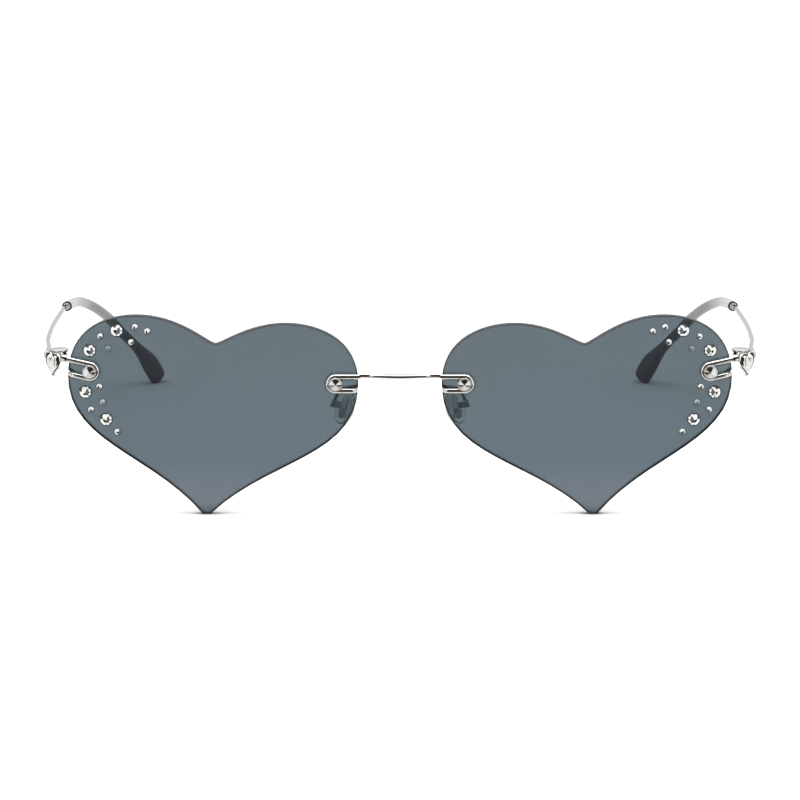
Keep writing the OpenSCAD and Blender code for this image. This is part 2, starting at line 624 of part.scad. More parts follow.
placed() hinge_heart();  // hinge_heart_left
placed_right() hinge_heart();  // hinge_heart_right
placed() temple_wire();  // temple_wire_left
placed_right() temple_wire();  // temple_wire_right
placed() temple_sleeve();  // temple_sleeve_left
placed_right() temple_sleeve();  // temple_sleeve_right
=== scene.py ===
import random
from math import atan2, cos, degrees, pi, radians, sin
import bmesh
import bpy
from mathutils import Matrix, Vector


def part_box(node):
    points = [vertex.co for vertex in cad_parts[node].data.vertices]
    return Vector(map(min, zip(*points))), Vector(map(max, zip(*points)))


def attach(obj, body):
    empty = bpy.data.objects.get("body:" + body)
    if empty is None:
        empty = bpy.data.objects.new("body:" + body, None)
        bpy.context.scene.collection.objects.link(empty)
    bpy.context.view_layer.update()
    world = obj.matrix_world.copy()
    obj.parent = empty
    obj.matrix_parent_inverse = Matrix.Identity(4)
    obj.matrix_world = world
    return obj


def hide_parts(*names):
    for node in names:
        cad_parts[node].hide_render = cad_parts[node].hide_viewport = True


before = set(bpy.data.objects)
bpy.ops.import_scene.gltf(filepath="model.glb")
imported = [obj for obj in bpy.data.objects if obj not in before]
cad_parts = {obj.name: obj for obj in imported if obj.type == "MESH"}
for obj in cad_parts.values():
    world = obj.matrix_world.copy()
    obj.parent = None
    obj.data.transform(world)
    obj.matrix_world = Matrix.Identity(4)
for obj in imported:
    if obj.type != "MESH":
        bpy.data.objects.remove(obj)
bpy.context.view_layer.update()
mm = 0.001
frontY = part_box("lens_left")[0].y  # the lens fronts
bothSides = (("left", 1), ("right", -1))  # of the wearer, and the sign of X there
print("frame loaded, lens fronts at", round(frontY / mm, 2), "mm")


class Signal:  # a node's output, which can stand in a sum
    def __init__(self, finish, socket):
        self.finish = finish
        self.socket = socket

    def math(self, operation, *values):
        return self.finish.node("ShaderNodeMath", {"operation": operation}, values)

    def __add__(self, other):
        return self.math("ADD", self, other)

    def __sub__(self, other):
        return self.math("SUBTRACT", self, other)

    def __rsub__(self, other):
        return self.math("SUBTRACT", other, self)

    def __mul__(self, other):
        return self.math("MULTIPLY", self, other)

    __radd__ = __add__
    __rmul__ = __mul__

    def step(self, low, high):  # 0 below low, 1 above high, smooth between
        return self.finish.node("ShaderNodeMapRange", {"interpolation_type": "SMOOTHSTEP"},
                                {"Value": self, "From Min": low, "From Max": high})

    def size(self):
        return self.math("ABSOLUTE", self)


class Finish:  # builds one material, or the light of a world
    def __init__(self, name, world=None):
        self.material = world or bpy.data.materials.new(name)
        self.material.use_nodes = True
        self.tree = self.material.node_tree
        self.tree.nodes.clear()

    def node(self, kind, settings=None, inputs=None, output=0):
        made = self.tree.nodes.new(kind)
        for key, value in (settings or {}).items():
            setattr(made, key, value)
        pairs = inputs.items() if isinstance(inputs, dict) else enumerate(inputs or ())
        for key, value in pairs:
            if isinstance(value, Signal):
                self.tree.links.new(value.socket, made.inputs[key])
            else:
                made.inputs[key].default_value = value
        return Signal(self, made.outputs[output]) if made.outputs else None

    def place(self):  # where a point is on the resting part, in metres
        return self.node("ShaderNodeTexCoord", output="Object")

    def along(self, letter):
        return self.node("ShaderNodeSeparateXYZ", inputs=[self.place()], output=letter)

    def noise(self, scale, detail=2.0, rough=0.5):  # cells per millimetre, for each axis or for all
        cells = [c / mm for c in (scale if isinstance(scale, tuple) else (scale,) * 3)]
        stretched = self.node("ShaderNodeVectorMath", {"operation": "MULTIPLY"}, [self.place(), cells])
        return self.node("ShaderNodeTexNoise", {"noise_dimensions": "3D"},
                         {"Vector": stretched, "Scale": 1.0, "Detail": detail, "Roughness": rough})

    def mix(self, share, first, second):
        ends = [c if isinstance(c, Signal) else (*c, 1) for c in (first, second)]
        return self.node("ShaderNodeMix", {"data_type": "RGBA"}, {0: share, 6: ends[0], 7: ends[1]}, output=2)

    def openness(self, reach):  # 1 in the open, 0 where something lies closer than reach in millimetres
        return self.node("ShaderNodeAmbientOcclusion", {"samples": 8}, {"Distance": reach * mm}, "AO")

    def bump(self, height, depth):
        heights = {"Height": height, "Distance": depth * mm, "Strength": 1.0}
        return self.node("ShaderNodeBump", inputs=heights)

    def skin(self, **sockets):
        shader = self.node("ShaderNodeBsdfPrincipled",
                           inputs={key.replace("_", " "): value for key, value in sockets.items()})
        self.node("ShaderNodeOutputMaterial", inputs={"Surface": shader})
        return self.material

    def glowing(self, colour):
        shader = self.node("ShaderNodeEmission",
                           inputs={"Color": colour if isinstance(colour, Signal) else (*colour, 1)})
        self.node("ShaderNodeOutputMaterial", inputs={"Surface": shader})
        return self.material


# the tint of the lenses, which drifts a little over each heart
smoke = {"top": (0.133, 0.166, 0.188), "bottom": (0.137, 0.170, 0.204), "blend": (2, 40), "drift": 10,
         "green": (0.128, 0.171, 0.188), "greenShare": 0.35, "patches": (0.50, 0.72),
         "plum": (0.150, 0.162, 0.196), "low": (0, 12), "lowShare": 0.3, "side": (66, 72), "sideShare": 0.2,
         "contact": (0.014, 0.018, 0.022), "reach": 0.8, "bare": (0.55, 0.90),
         "gloss": 0.005, "wiped": 0.02}


def smokedLens():
    f = Finish("smokedLens")
    x, z = f.along("X").size(), f.along("Z")

    def across(value, key):  # from one place to another, in millimetres
        start, end = smoke[key]
        return value.step(start * mm, end * mm)
    high = across(z + f.noise(0.04, 1.0) * (smoke["drift"] * mm), "blend")
    tint = f.mix(high, smoke["bottom"], smoke["top"])
    tint = f.mix(f.noise(0.07, 1.0).step(*smoke["patches"]) * smoke["greenShare"], tint, smoke["green"])
    low = (1 - across(z, "low")) * smoke["lowShare"]
    tint = f.mix(low + across(x, "side") * smoke["sideShare"], tint, smoke["plum"])
    # painted shade: the tint turns near-black where wires, screws and stones lie near the lens
    bare = f.openness(smoke["reach"]).step(*smoke["bare"])
    tint = f.mix(1 - bare, tint, smoke["contact"])  # shade beside what lies on the lens
    wiped = f.noise((0.6, 0.6, 2.4), 3.0).step(0.3, 0.8)  # faint marks of a cloth
    return f.skin(Base_Color=tint, Roughness=wiped * smoke["wiped"] + smoke["gloss"],
                  Transmission_Weight=1.0, IOR=1.5)


# painted shade: the lens's side walls are opaque and near-black, for the dark line that the long path through
# the tint gives along its edge
edgeShade = {"dark": (0.006, 0.009, 0.012), "light": (0.016, 0.021, 0.027)}


def lensEdge():
    f = Finish("lensEdge")
    lines = f.noise((3.0, 22.0, 3.0), 3.0)  # left by the edging wheel
    tint = f.mix(lines.step(0.35, 0.7), edgeShade["dark"], edgeShade["light"])
    return f.skin(Base_Color=tint, Roughness=lines * 0.12 + 0.15, Specular_IOR_Level=0.45,
                  Normal=f.bump(lines, 0.01))


silver = {"cream": (0.93, 0.905, 0.86), "cool": (0.89, 0.885, 0.88), "tarnish": (0.40, 0.32, 0.24),
          "cornerShade": (0.030, 0.022, 0.016)}


def polishedSilver(name, marks, roughness, tarnish=0.25, cornerShade=0.0):
    f = Finish(name)
    worn = f.noise(marks, 3.0, 0.6)
    patch = f.noise(0.35, 2.0)
    tint = f.mix(patch.step(0.35, 0.65), silver["cream"], silver["cool"])
    tint = f.mix(worn.step(0.62, 0.85) * tarnish, tint, silver["tarnish"])
    if cornerShade:  # painted shade: dark in the corners, where something else lies near
        tint = f.mix(1 - f.openness(cornerShade).step(0.25, 0.80), tint, silver["cornerShade"])
    return f.skin(Base_Color=tint, Metallic=1.0, Roughness=worn * 0.05 + roughness,
                  Normal=f.bump(worn, 0.004))


stoneTint = {"glue": ((0.010, 0.014, 0.018), (0.035, 0.042, 0.050)),
             "foil": ((0.40, 0.41, 0.43), (0.72, 0.72, 0.73)), "inner": 0.3}


def crystal():
    f = Finish("crystal")
    spark = f.node("ShaderNodeVertexColor", {"layer_name": "spark"})  # painted highlights and reflections: each facet has its own level of light
    fine = f.noise(2.5, 2.0)
    # painted glow: the facets give light of their own, as bright as they are painted, scaled by stoneTint's
    # inner level
    return f.skin(Base_Color=spark, Roughness=fine * 0.05 + 0.03, Coat_Weight=0.5, Coat_Roughness=0.01,
                  Emission_Color=spark, Emission_Strength=stoneTint["inner"])


# painted shade: the glue bead is real, but it is near-black for the dark outline round each stone
def stoneGlue():
    f = Finish("stoneGlue")
    uneven = f.noise(1.6, 2.0)
    tint = f.mix(uneven, *stoneTint["glue"])
    return f.skin(Base_Color=tint, Roughness=uneven * 0.2 + 0.25, Normal=f.bump(uneven, 0.02))


def foil():  # behind each stone
    f = Finish("foil")
    crinkle = f.noise(3.0, 3.0)
    tint = f.mix(crinkle.step(0.3, 0.7), *stoneTint["foil"])
    return f.skin(Base_Color=tint, Metallic=1.0, Roughness=crinkle * 0.2 + 0.25,
                  Normal=f.bump(crinkle, 0.02))


bushTint = ((0.62, 0.64, 0.66), (0.78, 0.79, 0.80))


def palePlastic():
    f = Finish("palePlastic")
    flow = f.noise(0.8, 2.0)
    tint = f.mix(flow, *bushTint)
    return f.skin(Base_Color=tint, Roughness=flow * 0.15 + 0.3, Coat_Weight=0.3, Normal=f.bump(flow, 0.01))


padTint = {"haze": ((0.92, 0.93, 0.92), (0.97, 0.97, 0.96)), "rim": (0.10, 0.12, 0.12),
           "nickel": ((0.84, 0.84, 0.83), (0.93, 0.93, 0.92))}


def clearSilicone():
    f = Finish("clearSilicone")
    haze = f.noise(0.9, 2.0)
    # painted shade: a dark rim where the pad is seen edge-on, for the dark outline of a clear pad
    edgeOn = f.node("ShaderNodeLayerWeight", inputs={"Blend": 0.5}, output="Facing")
    tint = f.mix(edgeOn.step(0.62, 0.95), f.mix(haze, *padTint["haze"]), padTint["rim"])
    return f.skin(Base_Color=tint, Roughness=haze * 0.05 + 0.06, IOR=1.41, Transmission_Weight=1.0,
                  Normal=f.bump(haze, 0.02))


sleeveTint = {"front": (0.80, 0.80, 0.80), "band": (0.29, 0.29, 0.29), "paddle": (0.175, 0.150, 0.165),
              "mouth": ((0.010, 0.010, 0.012), (0.030, 0.030, 0.035)), "clear": 4, "turn": 16, "last": 6,
              "drift": 4}


def smokedSleeve():  # clear at the mouth, darker from there to the end
    f = Finish("smokedSleeve")
    low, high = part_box("temple_sleeve_left")
    turnY = low.y + sleeveTint["turn"] * mm
    y = f.along("Y")
    cloud = f.noise((0.5, 0.15, 0.5), 2.0)
    tint = f.mix((y + cloud * (sleeveTint["drift"] * mm)).step(low.y + sleeveTint["clear"] * mm, turnY),
                 sleeveTint["front"], sleeveTint["band"])
    tint = f.mix(y.step(turnY, high.y - sleeveTint["last"] * mm), tint, sleeveTint["paddle"])
    return f.skin(Base_Color=tint, Roughness=cloud * 0.10 + 0.12, Coat_Weight=0.6, Coat_Roughness=0.05,
                  Normal=f.bump(cloud, 0.02))


# painted shade: the bore and the outer ring of the mouth are near-black, for the shade inside the sleeve
def sleeveMouth():
    f = Finish("sleeveMouth")
    cut = f.noise((4.0, 1.0, 4.0), 3.0)
    tint = f.mix(cut, *sleeveTint["mouth"])
    return f.skin(Base_Color=tint, Roughness=cut * 0.2 + 0.45, Specular_IOR_Level=0.15,
                  Normal=f.bump(cut, 0.02))


grooveTint = ((0.010, 0.008, 0.006), (0.035, 0.028, 0.020))


def darkGroove():  # painted reflection: a near-black line in the groove round each heart ornament, for the dark that it reflects
    f = Finish("darkGroove")
    mottle = f.noise(4.0, 3.0)
    tint = f.mix(mottle, *grooveTint)
    return f.skin(Base_Color=tint, Roughness=mottle * 0.2 + 0.3, Specular_IOR_Level=0.2,
                  Normal=f.bump(mottle, 0.01))


def dullNickel():
    f = Finish("dullNickel")
    rolled = f.noise((2.0, 2.0, 9.0), 3.0)
    tint = f.mix(rolled, *padTint["nickel"])
    return f.skin(Base_Color=tint, Metallic=0.3, Roughness=rolled * 0.15 + 0.42,
                  Normal=f.bump(rolled, 0.005))


finishes = {
    "lens": smokedLens(), "edge": lensEdge(),
    "wire": polishedSilver("drawnSilver", 1.5, 0.05),
    "screw": polishedSilver("turnedSilver", (3.0, 9.0, 3.0), 0.08, tarnish=0.15),
    "hinge": polishedSilver("hingeSilver", 2.5, 0.07, tarnish=0.5, cornerShade=0.7),
    "heart": polishedSilver("buffedSilver", 0.9, 0.04, tarnish=0.3, cornerShade=0.5),
    "crystal": crystal(), "glue": stoneGlue(), "foil": foil(), "plastic": palePlastic(),
    "silicone": clearSilicone(), "sleeve": smokedSleeve(), "mouth": sleeveMouth(), "groove": darkGroove(),
    "nickel": dullNickel()}
print("finishes made:", len(finishes))


# every outline and route below is drawn for the wearer's left side, at +X
def unit(v):
    return v.normalized()


def mixed(a, b, t):
    return a + (b - a) * t


def smooth(t):
    t = min(max(t, 0), 1)
    return t * t * (3 - 2 * t)


def bezier(p, n):
    out = []
    for i in range(n):
        t = i / n
        u = 1 - t
        out.append(u ** 3 * p[0] + 3 * u * u * t * p[1] + 3 * u * t * t * p[2] + t ** 3 * p[3])
    return out


def spline(rows, steps):  # a smooth curve through rows of numbers
    out = []
    last = len(rows) - 1
    for i in range(last):
        a, b, c, d = rows[max(i - 1, 0)], rows[i], rows[i + 1], rows[min(i + 2, last)]
        for j in range(steps):
            t = j / steps
            out.append((2 * b + (c - a) * t + (2 * a - 5 * b + 4 * c - d) * t * t
                        + (3 * b - 3 * c + d - a) * t ** 3) / 2)
    return out + [rows[last]]


def directions(points, first=None):
    last = len(points) - 1
    out = [unit(points[min(i + 1, last)] - points[max(i - 1, 0)]) for i in range(last + 1)]
    if first is not None:
        out[0] = first
    return out


def squared(c, power):  # pushes a circle's cosine or sine towards a square
    return abs(c) ** (2 / power) * (1 if c >= 0 else -1)


def rings(points, heads, normal, sizes, sides, powers=None):  # without a normal the rings stay upright
    out = []
    for row, (p, t, (a, b)) in enumerate(zip(points, heads, sizes)):
        power = powers[row] if powers else 2
        up = Vector((0, 0, 1)) if normal is None else normal
        up = unit(up - up.dot(t) * t)
        if normal is not None:
            normal = up
        side = t.cross(up)
        out.append([p + a * squared(cos(2 * pi * j / sides), power) * up
                    + b * squared(sin(2 * pi * j / sides), power) * side for j in range(sides)])
    return out


def skinned(rows, k):  # faces between neighbouring rings of k points
    return [(i * k + j, i * k + (j + 1) % k, (i + 1) * k + (j + 1) % k, (i + 1) * k + j)
            for i in range(rows - 1) for j in range(k)]


def loft(ringRows):
    k, rows = len(ringRows[0]), len(ringRows)
    ends = [tuple(range(k - 1, -1, -1)), tuple(range((rows - 1) * k, rows * k))]
    return [p for ring in ringRows for p in ring], skinned(rows, k) + ends


def spun(profile, sides):  # profile rows are (radius, height) along +Z
    verts = [Vector((r * cos(2 * pi * j / sides), r * sin(2 * pi * j / sides), h))
             for r, h in profile for j in range(sides)]
    return verts, skinned(len(profile), sides)


# turns a bmesh into an object with smooth faces, sharp where two of them meet above the crease angle
def shaped(bm, name, materials, crease=35, evenFlats=False):
    bmesh.ops.recalc_face_normals(bm, faces=bm.faces)
    for edge in bm.edges:
        edge.smooth = not (len(edge.link_faces) == 2 and edge.calc_face_angle(0) > radians(crease))
    for face in bm.faces:
        face.smooth = True
    mesh = bpy.data.meshes.new(name)
    bm.to_mesh(mesh)
    bm.free()
    if "custom_normal" in mesh.attributes:
        mesh.attributes.remove(mesh.attributes["custom_normal"])
    for material in materials:
        mesh.materials.append(material)
    piece = bpy.data.objects.new(name, mesh)
    bpy.context.collection.objects.link(piece)
    if evenFlats:
        even = piece.modifiers.new("evenFlats", "WEIGHTED_NORMAL")
        even.keep_sharp = True
        even.weight = 100
    return piece


def bmeshOf(verts, faces):  # from millimetres
    bm = bmesh.new()
    made = [bm.verts.new(Vector(v) * mm) for v in verts]
    for face in faces:
        bm.faces.new([made[i] for i in face])
    return bm


def flipped(bm):  # the same mesh for the other side
    bmesh.ops.scale(bm, vec=(-1, 1, 1), verts=bm.verts)
    return bm


weld = {"gap": 0.0005, "flat": radians(0.6)}  # what counts as one point and as one flat face


def welded(node):
    bm = bmesh.new()
    bm.from_mesh(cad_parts[node].data)
    bmesh.ops.remove_doubles(bm, verts=bm.verts, dist=weld["gap"] * mm)
    return bm


def fromNode(node):  # the CAD solid as a clean mesh
    bm = welded(node)
    bmesh.ops.dissolve_limit(bm, angle_limit=weld["flat"], verts=bm.verts, edges=bm.edges)
    return bm


def softened(bm, width, angle=30, only=None, material=-1):  # rounds the sharp edges
    edges = [e for e in bm.edges if len(e.link_faces) == 2 and e.calc_face_angle(0) > radians(angle)
             and (only is None or only(e))]
    bmesh.ops.bevel(bm, geom=edges, offset=width * mm, segments=2, affect="EDGES", profile=0.6,
                    clamp_overlap=True, material=material)
    return bm


def islands(node):  # the box of each solid of a node
    bm = welded(node)
    left = set(bm.verts)
    out = []
    while left:
        grown = [left.pop()]
        for v in grown:
            for edge in v.link_edges:
                other = edge.other_vert(v)
                if other in left:
                    left.discard(other)
                    grown.append(other)
        low = Vector([min(v.co[i] for v in grown) for i in range(3)])
        high = Vector([max(v.co[i] for v in grown) for i in range(3)])
        out.append((low, high))
    bm.free()
    return sorted(out, key=lambda box: tuple(box[0]))


def settle(piece, body, slot, *nodes):
    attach(piece, body)
    if nodes:
        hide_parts(*nodes)
    return piece


def cad(p):  # from millimetres with the lens fronts at y = 0 to the frame, still in millimetres
    return Vector((p[0], p[1] + frontY / mm, p[2]))


# where the screws and wires lie on a lens, in millimetres, as the solids have it
lensLow, lensHigh = [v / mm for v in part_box("lens_left")]
screwLow, screwHigh = [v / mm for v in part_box("lens_screws")]
headD = 2.9
layout = {
    "gap": 17.5, "lensT": lensHigh.y - lensLow.y, "innerInset": 4.8, "seat": 0.03,
    "outerX": screwHigh.x - headD / 2, "outerZ": screwHigh.z - headD / 2, "innerZ": screwLow.z + headD / 2,
    "wireD": 1.15, "loopR": 1.5, "bendR": 0.9, "tilt": radians(13), "outerInset": 4.6}
layout["innerX"] = layout["gap"] / 2 + layout["innerInset"]
legY = -(layout["seat"] + layout["wireD"] / 2)
print("screws at", round(layout["innerX"], 2), round(layout["outerX"], 2), round(layout["innerZ"], 2))


lens = {"chamfer": 0.12, "corner": 50, "crease": 40, "edgeBelow": 0.3, "flatAbove": 0.9}


def buildLens(side):
    bm = fromNode("lens_" + side)
    for face in bm.faces:
        face.material_index = 1 if abs(face.normal.y) < lens["edgeBelow"] else 0

    def onRim(e):
        return (any(f.material_index == 1 for f in e.link_faces)
                and any(abs(f.normal.y) > lens["flatAbove"] for f in e.link_faces))
    softened(bm, lens["chamfer"], lens["corner"], onRim, 1)
    piece = shaped(bm, "lens" + side.title(), [finishes["lens"], finishes["edge"]], lens["crease"],
                   evenFlats=True)
    settle(piece, "front", "smoked_lens", "lens_" + side)


for side, sign in bothSides:
    buildLens(side)
print("lenses done")


# stones are brilliants of eight sides in a bead of glue; two small ones on each lens are dull, counted
# from the hinge
stoneCut = {"corners": 8, "table": 0.52, "break": 0.80, "breakRise": 0.62, "hub": 0.12, "hubRise": 0.01,
            "beadSides": 24, "glueOut": 1.09, "glueTop": 1.05, "glueTopRise": 0.75, "glueIn": 0.95,
            "glueFoot": -0.6, "glueRise": 0.07, "glueGap": 0.002, "glueShade": 0.02,
            "dull": {3: 0.45, 4: 0.20}, "dim": (0.12, 0.16, 0.19), "spread": 0.15,
            "turn": {"small": 50, "large": 20}, "crease": 8}
hues = [(1.0, 1.0, 1.0), (0.97, 1.0, 0.94), (1.0, 0.97, 0.99), (0.97, 0.99, 1.0)]
# painted highlights and reflections: how light each facet is painted, in zones from the middle outwards, each
# with its reach, its sectors (from and to in degrees from the nose, and the level there) and the level
# elsewhere
sparkZones = {
    "small": [(0.40, [(130, 345, 0.02)], 1.0),  # a dark middle in a white crescent
              (0.80, [(20, 230, 1.0)], 0.14),
              (9, [(60, 190, 0.9)], 0.12)],
    "large": [(0.40, [(180, 275, 0.02), (280, 440, 0.14)], 1.0),  # a white table with one dark corner
              (0.65, [(280, 440, 0.04)], 1.0),  # dark towards the nose, with light rays in it
              (0.83, [(115, 160, 0.04)], 1.0),
              (9, [(280, 440, 0.12), (150, 255, 0.95)], 0.08)]}


def sparkOf(size, share, a, luck):
    sectors, level = next((sectors, level) for reach, sectors, level in sparkZones[size] if share < reach)
    for start, stop, inside in sectors:
        if start < a < stop or start < a + 360 < stop:
            level = inside
            break
    return min(1.0, level * luck.uniform(1 - stoneCut["spread"], 1 + stoneCut["spread"]))


def addStone(bm, layer, low, high, luck, size, shine):
    middle = (low + high) / 2
    radius = (high.x - low.x) / 2
    tableY, depth = low.y, frontY - low.y
    n = stoneCut["corners"]

    def at(share, turns, y):  # a whole turn has 2 * n of these turns
        a = pi * turns / n
        return bm.verts.new((middle.x + share * radius * cos(a), y, middle.z + share * radius * sin(a)))

    table = [at(stoneCut["table"], 2 * i + 1, tableY) for i in range(n)]
    breaks = [at(stoneCut["break"], 2 * i, frontY - depth * stoneCut["breakRise"]) for i in range(n)]
    girdle = [at(1, i, frontY) for i in range(2 * n)]
    point = bm.verts.new((middle.x, high.y, middle.z))
    hue = luck.choice(hues)
    turn = luck.uniform(-stoneCut["turn"][size], stoneCut["turn"][size])
    hub = at(stoneCut["hub"], luck.uniform(0, 2 * n), tableY - stoneCut["hubRise"] * mm)
    made = [bm.faces.new([table[i - 1], table[i], hub]) for i in range(n)]
    for i in range(n):
        made.append(bm.faces.new([table[i - 1], table[i], breaks[i]]))
        made.append(bm.faces.new([table[i], breaks[i], girdle[2 * i + 1], breaks[(i + 1) % n]]))
        made.append(bm.faces.new([breaks[i], girdle[2 * i], girdle[2 * i + 1]]))
        made.append(bm.faces.new([breaks[i], girdle[2 * i - 1], girdle[2 * i]]))
    crown = len(made)
    made += [bm.faces.new([girdle[i], girdle[(i + 1) % (2 * n)], point]) for i in range(2 * n)]
    for count, face in enumerate(made):
        face.material_index = 0 if count < crown else 1
        spot = face.calc_center_median() - middle
        inward = spot.x if middle.x < 0 else -spot.x
        level = sparkOf(size, Vector((inward, spot.z)).length / radius,
                        (degrees(atan2(spot.z, inward)) + turn) % 360, luck)
        colour = [mixed(dim, level * c, shine) for dim, c in zip(stoneCut["dim"], hue)]
        for corner in face.loops:
            corner[layer] = (*colour, 1)
    # the glue stands up round the stone as a low bead; the bead is real, its near-black is painted shade
    # round the stone
    bead, k = [], stoneCut["beadSides"]
    for share, rise in ((stoneCut["glueOut"], 0), (stoneCut["glueTop"], stoneCut["glueTopRise"]),
                        (stoneCut["glueIn"], 1), (stoneCut["glueIn"], stoneCut["glueFoot"])):
        y = frontY - rise * stoneCut["glueRise"] * radius - stoneCut["glueGap"] * mm
        bead.append([at(share, j * 2 * n / k, y) for j in range(k)])
    for a, b in zip(bead, bead[1:]):
        for j in range(k):
            face = bm.faces.new([a[j], a[(j + 1) % k], b[(j + 1) % k], b[j]])
            face.material_index = 2
            for corner in face.loops:
                corner[layer] = (*[stoneCut["glueShade"]] * 3, 1)


def buildStones(size, side):
    node = size + "_stones_" + side
    bm = bmesh.new()
    layer = bm.loops.layers.float_color.new("spark")
    luck = random.Random(node)
    places = sorted(islands(node), key=lambda box: -abs(box[0].x + box[1].x))
    for count, (low, high) in enumerate(places):
        shine = stoneCut["dull"].get(count, 1) if size == "small" else 1
        addStone(bm, layer, low, high, luck, size, shine)
    materials = [finishes["crystal"], finishes["foil"], finishes["glue"]]
    piece = shaped(bm, size + "Stones" + side.title(), materials, stoneCut["crease"])
    settle(piece, "front", "clear_stone", node)


for side, sign in bothSides:
    buildStones("large", side)
    buildStones("small", side)
print("stones set")


# the pads' own frame, in which the arms of the bridge end
padFrame = {"middle": Vector((11.5, 8.0, 21.6)), "splay": radians(42), "flare": radians(20),
            "length": 7.8, "width": 5.2, "depth": 2.2, "taper": 0.2, "stand": 0.92,
            "lug": 1.1, "room": 0.1, "wall": 0.35, "armD": 0.9, "sink": 0.02,
            "socketH": 1.5, "socketFloor": 0.3, "sides": 40, "crease": 80}


def padPoint(p):  # x points outwards, y across the pad and z along it
    turn = Matrix.Rotation(-padFrame["splay"], 3, "Z") @ Matrix.Rotation(-padFrame["flare"], 3, "Y")
    return cad(padFrame["middle"] + turn @ Vector(p))


wire = {"hairpinSteps": 24, "bendSteps": 10, "crease": 50}


def arc(start, stop, steps, place):  # place takes the cosine and the sine
    turns = [radians(mixed(start, stop, i / steps)) for i in range(steps + 1)]
    return [place(cos(a), sin(a)) for a in turns]


# one wire: a bridge that is pressed flat in the middle, a hairpin on each lens and the two pad arms
bridge = {"height": 1.0, "depth": 1.5, "flat": 5.2, "swage": 1.4, "bow": 0.9, "armLead": 2.4, "armFall": 3.2,
          "power": 2.5, "lift": 0.25, "liftRun": 0.6, "sides": 36, "bowSteps": 36, "legSteps": 4,
          "armSteps": 28}


def buildBridge():
    halfGap, r, loop, bend = layout["gap"] / 2, layout["wireD"] / 2, layout["loopR"], layout["bendR"]
    innerX, innerZ = layout["innerX"], layout["innerZ"]
    notchX = halfGap + r + layout["seat"]
    bow = []
    for i in range(bridge["bowSteps"] + 1):
        s = i / bridge["bowSteps"]
        out = bridge["bow"] * (1 + cos(pi * s)) / 2
        lift = bridge["lift"] * smooth((1 - s) * halfGap / bridge["liftRun"])
        bow.append(Vector((s * halfGap, legY - out, innerZ + loop + lift)))
    n = bridge["legSteps"]
    run = [Vector((mixed(halfGap, innerX, i / n), legY, innerZ + loop)) for i in range(1, n)]
    run += arc(90, -90, wire["hairpinSteps"],
               lambda c, s: Vector((innerX + loop * c, legY, innerZ + loop * s)))
    run += arc(0, 90, wire["bendSteps"],
               lambda c, s: Vector((notchX + bend * (1 - s), legY + bend * (1 - c), innerZ - loop)))

    # the pad arm, from the notch to its seat on the pad box
    out = (padFrame["depth"] / 2 + padFrame["stand"] + padFrame["lug"] / 2 + padFrame["room"]
           + padFrame["wall"] + padFrame["armD"] / 2 - padFrame["sink"])
    half = padFrame["socketH"] / 2
    top, end, lead = [padPoint((out, 0, h)) - cad((0, 0, 0))
                      for h in (half, padFrame["socketFloor"] - half, half + bridge["armFall"])]
    start = Vector((notchX, layout["lensT"], innerZ - loop))
    arm = bezier([start, start + Vector((0, bridge["armLead"], 0)), lead, top], bridge["armSteps"])
    arm += [top, end]

    points = bow + run + arm
    rounded = [smooth((p.x - bridge["flat"]) / bridge["swage"]) for p in bow]
    sizes = [(mixed(bridge["depth"] / 2, r, s), mixed(bridge["height"] / 2, r, s)) for s in rounded]
    sizes += [(r, r)] * len(run)
    for i in range(len(arm)):
        sizes.append((mixed(r, padFrame["armD"] / 2, smooth(2 * i / bridge["armSteps"])),) * 2)
    powers = [mixed(bridge["power"], 2, s) for s in rounded] + [2] * (len(points) - len(bow))
    heads = directions(points, Vector((1, 0, 0)))
    left = rings(points, heads, Vector((0, 1, 0)), sizes, bridge["sides"], powers)
    right = [[Vector((-p.x, p.y, p.z)) for p in ring] for ring in reversed(left[1:])]
    verts, faces = loft(right + left)
    bm = bmeshOf([cad(v) for v in verts], faces)
    settle(shaped(bm, "bridgeWire", [finishes["wire"]], wire["crease"]), "front", "silver_wire", "bridge")


buildBridge()


endPiece = {"bossWall": 0.3, "bossBack": 0.7, "hook": 0.6, "tip": 0.15, "tipShare": 0.8, "sides": 28,
            "runSteps": 8, "legSteps": 5}


def buildEndPiece(side, sign):
    r, loop, bend, tilt = layout["wireD"] / 2, layout["loopR"], layout["bendR"], layout["tilt"]
    hingeX = sum(v.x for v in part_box("hinge_screw_left")) / 2 / mm
    bossEnd = (hingeX - endPiece["bossBack"] - layout["outerX"] + loop * sin(tilt)) / cos(tilt)
    notchL = (layout["outerInset"] - r - layout["seat"] - loop * sin(tilt)) / cos(tilt)
    tipY = layout["lensT"] + endPiece["hook"]
    n, k = endPiece["runSteps"], endPiece["legSteps"]
    points = [Vector((mixed(bossEnd - endPiece["bossWall"], 0, i / n), legY, loop)) for i in range(n)]
    points += arc(90, 270, wire["hairpinSteps"], lambda c, s: Vector((loop * c, legY, loop * s)))
    points += [Vector((mixed(0, notchL - bend, i / k), legY, -loop)) for i in range(1, k)]
    points += arc(0, 90, wire["bendSteps"],
                  lambda c, s: Vector((notchL - bend * (1 - s), legY + bend * (1 - c), -loop)))
    points += [Vector((notchL, y, -loop)) for y in (tipY - endPiece["tip"], tipY)]
    turn = Matrix.Rotation(-tilt, 3, "Y")
    screw = Vector((layout["outerX"], 0, layout["outerZ"]))
    points = [screw + turn @ p for p in points]
    sizes = [(r, r)] * (len(points) - 1) + [(r * endPiece["tipShare"],) * 2]
    verts, faces = loft(rings(points, directions(points), Vector((0, 1, 0)), sizes, endPiece["sides"]))
    bm = bmeshOf([cad(v) for v in verts], faces)
    if sign < 0:
        flipped(bm)
    piece = shaped(bm, "endPiece" + side.title(), [finishes["wire"]], wire["crease"])
    settle(piece, "front", "silver_wire", "endpiece_" + side)


for side, sign in bothSides:
    buildEndPiece(side, sign)
print("front wires bent")


